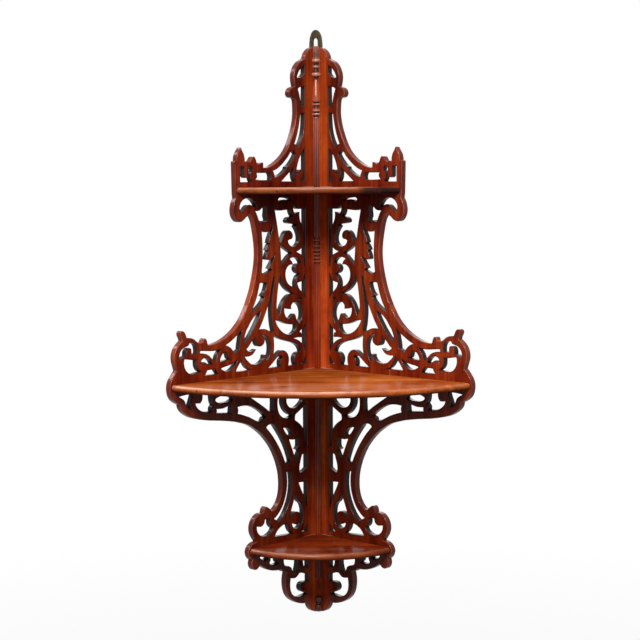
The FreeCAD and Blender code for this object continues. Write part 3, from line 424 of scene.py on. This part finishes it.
class Finish:
    """The nodes of one procedural finish, of a material or of the studio's world."""

    def __init__(self, owner):
        owner.use_nodes = True
        self.owner = owner
        self.tree = owner.node_tree
        self.tree.nodes.clear()

    def add(self, kind, settings=None, sockets=None, outlet=0):
        """Adds a node: its settings first, then its sockets by name or number, as values or links."""
        node = self.tree.nodes.new(kind)
        for key, value in (settings or {}).items():
            if key == "stops":
                ramp = node.color_ramp
                while len(ramp.elements) < len(value):
                    ramp.elements.new(0.5)
                for element, (position, colour) in zip(ramp.elements, value):
                    element.position = position
                    element.color = (*colour, 1)
            else:
                setattr(node, key, value)
        for key, value in (sockets or {}).items():
            socket = node.inputs[key]
            if isinstance(value, Value):
                self.tree.links.new(value.socket, socket)
            elif isinstance(value, tuple) and len(socket.default_value) == 4:
                socket.default_value = (*value, 1)
            else:
                socket.default_value = value
        return Value(self, node.outputs[outlet]) if node.outputs else None

    def place(self):
        return self.add("ShaderNodeTexCoord", outlet="Object")

    def mark(self, name):
        return self.add("ShaderNodeAttribute", {"attribute_name": name}, outlet="Fac")

    def axes(self, vector):
        split = self.add("ShaderNodeSeparateXYZ", None, {0: vector})
        return [Value(self, socket) for socket in split.socket.node.outputs]

    def mapped(self, vector, turn=0.0, scale=(1, 1, 1)):
        """Turned about Z, then stretched."""
        turned = self.add("ShaderNodeVectorRotate", {"rotation_type": "Z_AXIS"},
                          {"Vector": vector, "Angle": turn})
        return self.add("ShaderNodeVectorMath", {"operation": "MULTIPLY"}, {0: turned, 1: scale})

    def noise(self, vector, scale, detail=2.0, roughness=0.5, distortion=0.0, plank=0.0):
        return self.add("ShaderNodeTexNoise", {"noise_dimensions": "4D"},
                        {"Vector": vector, "W": plank, "Scale": scale, "Detail": detail,
                         "Roughness": roughness, "Distortion": distortion})

    def ramp(self, tone, stops):
        return self.add("ShaderNodeValToRGB", {"stops": stops}, {"Fac": tone})

    def blend(self, factor, first, second, mode="MIX"):
        return self.add("ShaderNodeMix", {"data_type": "RGBA", "blend_type": mode},
                        {0: factor, 6: first, 7: second}, outlet=2)

    def tinted(self, factor, colour, tint):
        """The colour multiplied by the tint, as far as the factor says."""
        return self.blend(factor, colour, tint, "MULTIPLY")

    def surface(self, sockets, height, bump, depth):
        """Closes the finish with its shader, and a bump of the given strength and depth."""
        sockets["Normal"] = self.add("ShaderNodeBump", None,
                                     {"Height": height, "Strength": bump, "Distance": depth})
        shader = self.add("ShaderNodeBsdfPrincipled", None, sockets)
        self.add("ShaderNodeOutputMaterial", None, {"Surface": shader})
        return self.owner


UPRIGHT = (0, 0, 1)
ACROSS = (1, 0, 0)
PLANK_SHIFT = 3.7
DARK_PORE = (0.035, 0.006, 0.003)


class Mahogany(Finish):
    """Timber whose grain runs along one axis, after a turn about Z. Broad bands, ribbons and fine streaks
    add up to its tone, and short pores cut into it."""

    def __init__(self, name, turn, grain):
        super().__init__(bpy.data.materials.new(name))
        self.spot = self.place()
        self.x, self.y, self.z = self.axes(self.spot)
        plank = self.mark("plank") * PLANK_SHIFT

        def along(length):
            return self.mapped(self.spot, turn, tuple(1 / length if axis else 1.0 for axis in grain))

        bands = self.noise(along(14), scale=34, detail=3, roughness=0.55, distortion=0.5, plank=plank)
        ribbons = self.noise(along(30), scale=150, distortion=0.2, plank=plank)
        self.streaks = self.noise(along(45), scale=620, detail=3, roughness=0.6, plank=plank)
        self.pores = self.noise(along(16), scale=1700, detail=1, plank=plank).between(0.60, 0.70)
        self.patches = self.noise(self.spot, scale=16, detail=3, roughness=0.6, distortion=0.3, plank=plank)
        self.tone = (0.5 + (bands - 0.5) * 1.1 + (ribbons - 0.5) * 0.8
                     + (self.streaks - 0.5) * 0.5 + (self.patches - 0.5) * 0.9)

    def timber(self, stops):
        """The tone through a ramp of colours, with the pores dark."""
        return self.blend(self.pores * 0.45, self.ramp(self.tone, stops), DARK_PORE)

    def polished(self, colour, roughness, coat, specular, coat_roughness):
        """Polish over the timber, with the streaks and pores felt through it."""
        return self.surface({"Base Color": colour, "Roughness": roughness, "Coat Weight": coat,
                             "Coat Roughness": coat_roughness, "Specular IOR Level": specular},
                            self.streaks * 0.4 - self.pores * 0.6, 0.25, 0.0002)


BOARD_STOPS = [(0.10, (0.085, 0.006, 0.002)), (0.40, (0.220, 0.023, 0.004)),
               (0.62, (0.340, 0.046, 0.007)), (0.92, (0.500, 0.105, 0.016))]
SHELF_STOPS = [(0.10, (0.130, 0.016, 0.003)), (0.40, (0.305, 0.054, 0.009)),
               (0.62, (0.410, 0.090, 0.016)), (0.92, (0.530, 0.160, 0.034))]


# Where the finishes change. A border is the two values between which a change runs, a stretch is its middle
# and how far it reaches to either side. Heights of the boards and columns:
CREST_BORDER = (-0.250, -0.230)
PALE_TOP_BORDER = (-0.040, -0.032)
FOOT_BORDER = (-0.700, -0.640)
TAIL_BORDER = (-0.820, -0.800)
DROP_BORDER = (-0.860, -0.850)
WAIST_STRETCH = (-0.385, 0.115)
WAIST_EDGE_STRETCH = (-0.325, 0.075)
SWEEP_STRETCH = (-0.655, 0.110)
GRIME_STRETCH = (-0.871, 0.017)
SEAM_WAX_STRETCH = (-0.515, 0.016)

# Distances from the inner corner along a board, and on the right board from the wall
SPINE_EDGE_BORDER = (0.016, 0.030)
SPINE_BORDER = (0.028, 0.036)
INNER_FRET_BORDER = (0.070, 0.105)
LEDGE_BORDER = (0.020, 0.040)
RIGHT_BORDER = (0.040, 0.048)

# Heights of the shelves, and on them the way from left to right
TOP_SHELF_BORDER = (-0.260, -0.250)
BOTTOM_SHELF_BORDER = (-0.710, -0.690)
PAINTED_LIGHT_BORDER = (-0.22, 0.22)
WEAR_BORDER = (0.05, 0.12)
STAIN_BORDER = (0.075, 0.100)

# Tints multiply the timber's colour. Several are painted light or shade: the spine's light and its edge's
# shade, the frets' shade, the right board's shaded waist, the light on the waist's outline, the light and
# shade across the shelves, and the shade over the bottom shelf and the top and bottom rims
PAINTED_LIGHT_SPINE = (1.45, 1.55, 1.90)
BRIGHT_TAIL = (1.4, 1.5, 1.8)
PAINTED_LIGHT_WAIST_EDGE = (1.40, 1.25, 1.1)
PAINTED_SHADE_SPINE_EDGE = (0.35, 0.28, 0.30)
RED_FRET = (0.62, 0.47, 0.60)
PAINTED_SHADE_FRET = (0.52, 0.52, 0.66)
SHADED_WAIST = (0.45, 0.40, 0.55)
PAINTED_SHADE_LEFT = (0.84, 0.78, 0.74)
PAINTED_LIGHT_RIGHT = (1.18, 1.28, 1.30)
PAINTED_SHADE_BOTTOM_SHELF = (0.66, 0.40, 0.42)
PAINTED_SHADE_TOP_RIM = (0.62, 0.75, 1.0)
PAINTED_SHADE_BOTTOM_RIM = (0.72, 0.68, 0.80)
CREST_COLUMN = (0.78, 0.66, 0.66)

# Colours laid over the timber. Several are painted light or shade: the shade along verges, arrises and the
# outline's thickness, the highlight laid with wear on the outline's arrises and the shelves' rims, the
# highlight on the rings, and the shade in the turning's hollows and on the rims' lower halves
PAINTED_EDGE_SHADE = (0.060, 0.007, 0.004)
PAINTED_EDGE_WALL_SHADE = (0.075, 0.009, 0.006)
RUBBED_AND_HIGHLIGHT_BOARD = (0.46, 0.14, 0.06)
OLD_WAX = (0.014, 0.007, 0.006)
DUSTY_WAX = (0.042, 0.021, 0.017)
PALE_WAX = (0.50, 0.36, 0.30)
GRIME = (0.050, 0.040, 0.036)
BARE_DARK = (0.10, 0.030, 0.014)
BARE_LIGHT = (0.21, 0.075, 0.034)
RUBBED_AND_HIGHLIGHT_RIM = (0.70, 0.37, 0.24)
PAINTED_SHADE_RIM_UNDERSIDE = (0.070, 0.016, 0.008)
NICK = (0.045, 0.012, 0.008)
INK = (0.020, 0.010, 0.010)
HOLLOW_WAX_AND_SHADE = (0.016, 0.006, 0.004)
PAINTED_RING_HIGHLIGHT = (0.56, 0.36, 0.28)
PALE_COLUMN = (0.46, 0.30, 0.25)
DARK_DROP = (0.030, 0.012, 0.009)


def board_finish():
    """French polish on the fret boards. Below the crest the spine is lightened with painted light, and it is
    darkened along its edge with painted shade. The frets are redder timber, and darker with painted shade,
    most of all near the corner in the crest and the waist, and at the foot. The right board's waist is
    darker with painted shade. Verges and arrises are darkened with painted shade, and places on the outline
    are made bright by wear and a painted highlight. The outline's thickness is polished as the faces are and
    darkened with painted shade, most in the crest and at the foot and least at the waist, where painted
    light also lightens it; the sawn openings are dark with old wax, and the wall side is left bare. Pale wax
    has gathered over the shelves near the corner and in the glue seams, and grime over the drop."""
    f = Mahogany("board_polish", 0.0, UPRIGHT)
    sawn, arris, back, outer = f.mark("sawn"), f.mark("arris"), f.mark("back"), f.mark("outer")
    reach = f.x - f.y - 2 * BOARD_T
    crest = f.z.between(*CREST_BORDER)
    foot = 1 - f.z.between(*FOOT_BORDER)
    tail = 1 - f.z.between(*TAIL_BORDER)
    waist = f.z.near(*WAIST_STRETCH)
    fret = reach.between(*SPINE_BORDER)
    spine = 1 - fret
    inner = 1 - reach.between(*INNER_FRET_BORDER)
    right = f.x.between(*RIGHT_BORDER)
    sweep = f.z.near(*SWEEP_STRETCH) * (0.45 + right * 0.55)

    timber = f.timber(BOARD_STOPS)
    # Painted light: the spine below the crest is lightened
    colour = f.tinted(spine * (1 - crest), timber, PAINTED_LIGHT_SPINE)
    colour = f.tinted(spine * tail, colour, BRIGHT_TAIL)
    # Painted shade: the spine is darkened along its edges beside the openings
    colour = f.tinted(spine * reach.between(*SPINE_EDGE_BORDER) * 0.45, colour, PAINTED_SHADE_SPINE_EDGE)
    colour = f.tinted(fret * (0.95 - waist * (1 - inner) * 0.85 - sweep * 0.60), colour, RED_FRET)
    # Painted shade on the frets near the corner in the crest and the waist, and at the foot
    fret_shade = crest * inner + waist * inner * 0.8 + foot * (1 - sweep)
    colour = f.tinted(fret * fret_shade * 0.75, colour, PAINTED_SHADE_FRET)
    colour = f.tinted(right * waist * 0.40, colour, SHADED_WAIST)

    verge = f.mark("verge") * (1 - sawn) * (1 - back)
    # Painted shade along the verges and arrises
    colour = f.blend(verge * (0.45 - waist * 0.33), colour, PAINTED_EDGE_SHADE)
    colour = f.blend(arris * 0.25, colour, PAINTED_EDGE_SHADE)
    # Places on the outline's arrises lightened by wear and by a painted highlight
    rubbed_and_highlight = arris * outer * f.patches.between(0.35, 0.65)
    colour = f.blend(rubbed_and_highlight * 0.55, colour, RUBBED_AND_HIGHLIGHT_BOARD)
    wax = f.blend(f.streaks.between(0.3, 0.7), OLD_WAX, DUSTY_WAX)
    # Painted shade on the outline's thickness, most in the crest and at the foot, and painted light at the
    # waist
    edge = f.blend(0.36 - waist * 0.14 + crest * 0.20 + foot * 0.15, f.blend(0.5, colour, timber), PAINTED_EDGE_WALL_SHADE)
    edge = f.tinted(f.z.near(*WAIST_EDGE_STRETCH), edge, PAINTED_LIGHT_WAIST_EDGE)
    colour = f.blend(sawn, colour, f.blend(outer, wax, edge))

    grime = reach.near(0.0, 0.012) * f.z.near(*GRIME_STRETCH) * f.patches.between(0.3, 0.55)
    colour = f.blend(grime * 0.8, colour, GRIME)
    ledges = 0.0
    for top, _ in SHELVES.values():
        ledges = f.z.near(top, 0.0022) + ledges
    seams = reach.near(GLUE_SEAM, 0.0008) * f.z.near(*SEAM_WAX_STRETCH)
    waxed = ledges * (1 - reach.between(*LEDGE_BORDER)) + seams
    pale = waxed * f.patches.between(0.25, 0.5) * (1 - back) * (1 - sawn)
    colour = f.blend(pale * 0.6, colour, PALE_WAX)
    bare = f.blend(f.tone.between(0.2, 0.8), BARE_DARK, BARE_LIGHT)
    colour = f.blend(back * 0.75, colour, bare)
    roughness = 0.26 + f.streaks * 0.08 + f.patches.between(0.45, 0.75) * 0.10 + back * 0.28 + pale * 0.3
    coat = (0.02 + sawn * (0.04 + outer * 0.11) + arris * 0.22) * (1 - back)
    return f.polished(colour, roughness, coat, specular=0.09, coat_roughness=0.14)


def shelf_finish():
    """French polish on the shelves, with painted light and shade that make them darker towards the left and
    lighter towards the right. The rims are pale with wear and carry a painted highlight, and are nicked;
    painted shade darkens the lower half of each rim and the rims of the top and bottom shelves. There is an
    old ink stain on the right of the top shelf's rim. Painted shade makes the bottom shelf darker and
    redder."""
    f = Mahogany("shelf_polish", -math.pi / 4, ACROSS)
    arris, crown, under = f.mark("arris"), f.mark("crown"), f.mark("under")
    rightward = f.x + f.y
    on_top = f.z.between(*TOP_SHELF_BORDER)
    on_bottom = 1 - f.z.between(*BOTTOM_SHELF_BORDER)

    # Painted light and shade: darker towards the left, lighter towards the right
    painted_light_across = f.blend(rightward.between(*PAINTED_LIGHT_BORDER), PAINTED_SHADE_LEFT, PAINTED_LIGHT_RIGHT)
    colour = f.tinted(1.0, f.timber(SHELF_STOPS), painted_light_across)
    # Painted shade over the bottom shelf, off its rim: darker and redder
    colour = f.tinted(on_bottom * (1 - arris), colour, PAINTED_SHADE_BOTTOM_SHELF)
    # The crown of each rim, where wear and a painted highlight are laid
    wear_and_highlight = crown * (1 - rightward.between(*WEAR_BORDER) * 0.75)
    rubbed_and_highlight = wear_and_highlight * f.patches.between(0.25, 0.50) * (1 - on_top * 0.6) * (1 - on_bottom * 0.4)
    colour = f.blend(rubbed_and_highlight * 0.85, colour, RUBBED_AND_HIGHLIGHT_RIM)
    # Painted shade on the rims of the top and bottom shelves
    colour = f.tinted(arris * on_top, colour, PAINTED_SHADE_TOP_RIM)
    colour = f.tinted(arris * on_bottom, colour, PAINTED_SHADE_BOTTOM_RIM)
    # Painted shade on the lower half of each rim
    colour = f.blend(under * 0.75, colour, PAINTED_SHADE_RIM_UNDERSIDE)
    nicks = f.noise(f.mapped(f.spot, 0.0, (1, 1, 0.6)), 260, 2, 0.6).between(0.62, 0.70) * arris
    colour = f.blend(nicks * 0.8, colour, NICK)
    stain = (rightward.between(*STAIN_BORDER) * on_top * arris.between(0.0, 0.35)
             * f.noise(f.spot, 60, 3, 0.6).between(0.25, 0.4))
    colour = f.blend(stain * 0.9, colour, INK)
    roughness = 0.36 + f.streaks * 0.08 + f.patches.between(0.45, 0.75) * 0.12 - wear_and_highlight * 0.14 + stain * 0.1
    coat = 0.045 + wear_and_highlight * 0.36 * (1 - stain)
    return f.polished(colour, roughness, coat, specular=0.0, coat_roughness=0.18)


def turned_finish():
    """French polish on the turned column, with a painted highlight on its rings, and old wax and painted
    shade in the hollows between them, both more so in the crest, where it is darker, paler at its top and
    paler along its joints. The drop at the foot is nearly black."""
    f = Mahogany("turned_polish", 0.0, UPRIGHT)
    crest = f.z.between(*CREST_BORDER)
    hollow = f.mark("hollow").between(0.0, 0.5) * (0.6 + crest * 0.4)
    ring = f.mark("ring") * (0.4 + crest * 0.6)
    colour = f.tinted(crest, f.timber(BOARD_STOPS), CREST_COLUMN)
    # Old wax and painted shade in the hollows
    colour = f.blend(hollow * 0.94, colour, HOLLOW_WAX_AND_SHADE)
    # Painted highlight on the rings
    colour = f.blend(ring * 0.4, colour, PAINTED_RING_HIGHLIGHT)
    # Paler along the joints in the crest and at the top of the column
    joint = f.x.math("MINIMUM", f.x, f.y * -1.0).near(BOARD_T, 0.0010) * crest
    pale_top = f.z.between(*PALE_TOP_BORDER) * f.patches.between(0.3, 0.6)
    colour = f.blend(joint * 0.36 + pale_top * 0.45, colour, PALE_COLUMN)
    drop = 1 - f.z.between(*DROP_BORDER)
    colour = f.blend(drop * 0.7, colour, DARK_DROP)
    coat = 0.16 + crest * 0.22 + ring * 0.50 - hollow * 0.15
    return f.polished(colour, 0.16 + f.streaks * 0.08, coat, specular=0.12, coat_roughness=0.16)


def aged_metal(name, dark, bright, rough):
    """Rolled metal with tarnish in clouds and fine rolling lines."""
    f = Finish(bpy.data.materials.new(name))
    place = f.place()
    clouds = f.noise(place, 160, 4, 0.65, 0.4).between(0.35, 0.68)
    lines = f.noise(f.mapped(place, 0.0, (1, 1, 0.05)), 900, 2, 0.5).between(0.3, 0.7)
    tarnish = clouds * 0.45 + lines * 0.55
    colour = f.blend(tarnish, dark, bright)
    return f.surface({"Base Color": colour, "Metallic": 0.55 + tarnish * 0.4,
                      "Roughness": rough + 0.25 - tarnish * 0.25},
                     lines, 0.1, 0.0001)


board_polish = board_finish()
shelf_polish = shelf_finish()
turned_polish = turned_finish()
hanger_brass = aged_metal("hanger_brass", (0.022, 0.019, 0.014), (0.20, 0.165, 0.10), 0.34)
screw_brass = aged_metal("screw_brass", (0.060, 0.045, 0.026), (0.40, 0.30, 0.15), 0.32)
screw_steel = aged_metal("screw_steel", (0.040, 0.036, 0.033), (0.30, 0.28, 0.26), 0.38)

for side in ("left", "right"):
    fret_side(side, board_polish)
for shelf in SHELVES:
    quarter_shelf(shelf, shelf_polish)

SMALL_FINISHES = {"mahogany_turned": turned_polish, "brass": hanger_brass,
                  "screw_brass": screw_brass, "screw_steel": screw_steel}
for part in frame["record"]["subparts"]:
    if part["material_slot"] in SMALL_FINISHES:
        smooth_copy(part["node"], SMALL_FINISHES[part["material_slot"]])


# Studio. Directions as the camera sees them: right, away and up.
RIGHT = np.array([1, 1, 0]) / math.sqrt(2)
AWAY = np.array([-1, 1, 0]) / math.sqrt(2)
UP = np.array([0, 0, 1.0])
MIDDLE = np.array([0.09, -0.09, -0.45])

# Camera: its place, how it is turned from the corner's own direction, in degrees, and its lens
CAMERA_PLACE = np.array([1.8041, -1.8918, -0.2289])
CAMERA_YAW, CAMERA_PITCH, CAMERA_ROLL = np.radians([1.461, 4.7, -0.281])
LENS_MM = 92.7
SENSOR_MM = 36.0

# Floor: its height, middle, radii and steps, the greys of its paper, how white it is where it is seen, and
# the distances between which it fades into the white around it
FLOOR_Z = -1.25
FLOOR_MIDDLE = (0.1, -0.1)
FLOOR_RADII = (0.02, 9.0)
FLOOR_RINGS = 24
FLOOR_SPOKES = 96
PAPER_DARK = (0.10, 0.10, 0.10)
PAPER_LIGHT = (0.12, 0.12, 0.12)
FLOOR_WHITE = 0.94
FLOOR_FADE = (1.3, 2.6)

# Light: the grey world, and each lamp's direction (right, away, up), distance, size, power and tint
WORLD_GREY = (0.17, 0.17, 0.18)
WHITE = (1, 1, 1)
LAMPS = {
    "sky_window": ((-0.20, -1.0, 0.70), 2.4, 0.7, 64, (1.0, 0.97, 0.94)),
    "top_light": ((0.05, -0.05, 1.0), 2.2, 1.3, 18, (0.98, 0.98, 1.0)),
    "left_sky": ((-0.75, 0.25, 0.62), 2.4, 0.5, 14, (0.94, 0.97, 1.0)),
    "front_fill": ((-0.05, -1.0, 0.16), 2.8, 1.6, 6, (1.0, 0.98, 0.96)),
    "back_fill": ((0.2, 1.0, 0.4), 2.6, 1.6, 20, (1.0, 0.99, 0.98)),
}


def aimed(name, data, place, forward, up):
    """Object at a place that looks along forward, with up above it."""
    side = unit(np.cross(forward, up))
    over = np.cross(side, forward)
    thing = bpy.data.objects.new(name, data)
    rows = np.eye(4)
    rows[:3, 0], rows[:3, 1], rows[:3, 2], rows[:3, 3] = side, over, -forward, place
    thing.matrix_world = Matrix(rows.tolist())
    bpy.context.scene.collection.objects.link(thing)
    return thing


def softbox(name, direction, distance, size, power, tint):
    """Square lamp that looks at the middle of the object from a direction, as the camera sees it."""
    lamp = bpy.data.lights.new(name, "AREA")
    lamp.size = size
    lamp.energy = power
    lamp.color = tint
    way = unit(np.array(direction) @ np.stack([RIGHT, AWAY, UP]))
    aimed(name, lamp, MIDDLE + distance * way, -way, UP)


def camera():
    """At the height and angle from which the object is seen."""
    level = math.sin(CAMERA_YAW) * RIGHT + math.cos(CAMERA_YAW) * AWAY
    forward = math.cos(CAMERA_PITCH) * level - math.sin(CAMERA_PITCH) * UP
    side = math.cos(CAMERA_YAW) * RIGHT - math.sin(CAMERA_YAW) * AWAY
    tilted = math.cos(CAMERA_ROLL) * side + math.sin(CAMERA_ROLL) * np.cross(side, forward)
    lens = bpy.data.cameras.new("camera")
    lens.lens = LENS_MM
    lens.sensor_width = SENSOR_MM
    bpy.context.scene.camera = aimed("camera", lens, CAMERA_PLACE, forward, np.cross(tilted, forward))


def seen_directly(f):
    """1 for what the camera, a reflection or a clear piece shows, 0 for light that falls on the object."""
    path = f.add("ShaderNodeLightPath", outlet="Is Camera Ray")
    rays = path.socket.node.outputs
    total = path + Value(f, rays["Is Glossy Ray"]) + Value(f, rays["Is Transmission Ray"])
    return total.math("MINIMUM", total, 1.0)


def studio_floor():
    """Pale disc under the object: a grid of rings and spokes. Where it is seen it is near white, with a
    faint shadow, and fades into the white around it; the light that it throws back is weak."""
    rings, spokes = np.meshgrid(np.linspace(*FLOOR_RADII, FLOOR_RINGS),
                                np.linspace(0, 2 * math.pi, FLOOR_SPOKES, endpoint=False), indexing="ij")
    points = np.stack([FLOOR_MIDDLE[0] + rings * np.cos(spokes), FLOOR_MIDDLE[1] + rings * np.sin(spokes),
                       np.full_like(rings, FLOOR_Z)], axis=2)
    index = np.arange(rings.size).reshape(rings.shape)
    beside = np.roll(index, -1, axis=1)
    quads = np.stack([index[:-1], index[1:], beside[1:], beside[:-1]], axis=2).reshape(-1, 4)
    floor = mesh_piece("studio_floor", points.reshape(-1, 3), [quads, index[:1]], {})
    f = Finish(bpy.data.materials.new("floor_paper"))
    place = f.place()
    seen = seen_directly(f)
    paper = f.blend(f.noise(place, 300, 3, 0.6), PAPER_DARK, PAPER_LIGHT)
    matt = f.add("ShaderNodeBsdfPrincipled", None,
                 {"Base Color": paper, "Roughness": 0.9, "Specular IOR Level": 0.0})
    white = f.add("ShaderNodeEmission", None, {"Color": WHITE, "Strength": 1.0})
    distance = f.add("ShaderNodeVectorMath", {"operation": "LENGTH"}, {0: place}, outlet="Value")
    whiteness = FLOOR_WHITE + distance.between(*FLOOR_FADE) * (1 - FLOOR_WHITE)
    surface = f.add("ShaderNodeMixShader", None, {0: seen * whiteness, 1: matt, 2: white})
    f.add("ShaderNodeOutputMaterial", None, {"Surface": surface})
    floor.data.materials.append(f.owner)


def studio_world():
    """White where it is seen, grey where it lights."""
    world = bpy.data.worlds.new("studio")
    bpy.context.scene.world = world
    f = Finish(world)
    tone = f.blend(seen_directly(f), WORLD_GREY, WHITE)
    light = f.add("ShaderNodeBackground", None, {"Color": tone, "Strength": 1.0})
    f.add("ShaderNodeOutputWorld", None, {"Surface": light})


camera()
studio_floor()
studio_world()
for lamp_name, (direction, distance, size, power, tint) in LAMPS.items():
    softbox(lamp_name, direction, distance, size, power, tint)
bpy.context.scene.view_settings.view_transform = "Standard"
